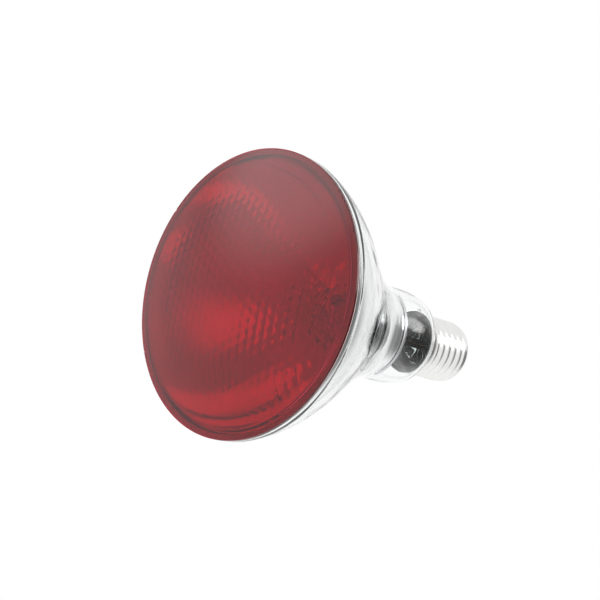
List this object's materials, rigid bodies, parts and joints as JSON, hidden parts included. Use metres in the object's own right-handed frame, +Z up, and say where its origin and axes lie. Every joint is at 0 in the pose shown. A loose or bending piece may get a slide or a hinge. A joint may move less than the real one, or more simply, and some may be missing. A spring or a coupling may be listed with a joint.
{
  "type": "infrared heat lamp",
  "caption": "Red-lensed reflector heat lamp: pressed-glass bowl with a mirrored inside, bulbous clear neck and Edison screw cap, for brooding and warming livestock.",
  "frame": {"origin": "centre of the flat tip of the cap's centre contact", "axes": "+Y along the lamp's axis, out of the cap through the centre contact; the red lens faces -Y; +Z is up when the lamp is laid level, as drawn"},
  "size_m": [0.121, 0.138, 0.121],
  "materials": {
    "red_glass": "pressed red glass, polished outside, dimpled inside",
    "rim_sealant": "pale matt sealing bead",
    "clear_glass": "clear pressed glass, fire polished",
    "mirror_film": "vapour-deposited aluminium, mirror bright",
    "shield_sheet": "plain rolled sheet, lightly brushed",
    "stem_glass": "clear drawn glass tube and rod",
    "molybdenum_wire": "drawn grey wire",
    "tungsten_wire": "dark grey coiled wire",
    "nickel_wire": "drawn nickel-plated wire",
    "copper_clad_wire": "red-brown oxide on copper-clad wire",
    "copper_wire": "bare copper wire",
    "basing_cement": "dark matt cured resin cement",
    "cap_shell": "bright nickel-plated rolled sheet",
    "black_glass": "glossy black pressed glass",
    "cap_brass": "stamped brass, lightly dulled",
    "solder": "dull tin-lead solder"
  },
  "bodies": {
    "root": {"front_lens": "red_glass", "rim_seal": "rim_sealant", "reflector_bulb": "clear_glass", "mirror_film": "mirror_film", "heat_shield_disc": "shield_sheet", "glass_stem": "stem_glass", "exhaust_tube": "stem_glass", "support_rod": "stem_glass", "support_hook_1": "molybdenum_wire", "support_hook_2": "molybdenum_wire", "support_hook_3": "molybdenum_wire", "support_hook_4": "molybdenum_wire", "filament": "tungsten_wire", "inner_lead_left": "nickel_wire", "inner_lead_right": "nickel_wire", "seal_wire_left": "copper_clad_wire", "seal_wire_right": "copper_clad_wire", "outer_lead_centre": "copper_wire", "outer_lead_side": "copper_wire", "lead_fuse": "stem_glass", "basing_cement": "basing_cement", "screw_shell": "cap_shell", "insulator": "black_glass", "contact_plate": "cap_brass", "centre_solder": "solder", "side_solder": "solder"}
  },
  "joints": []
}
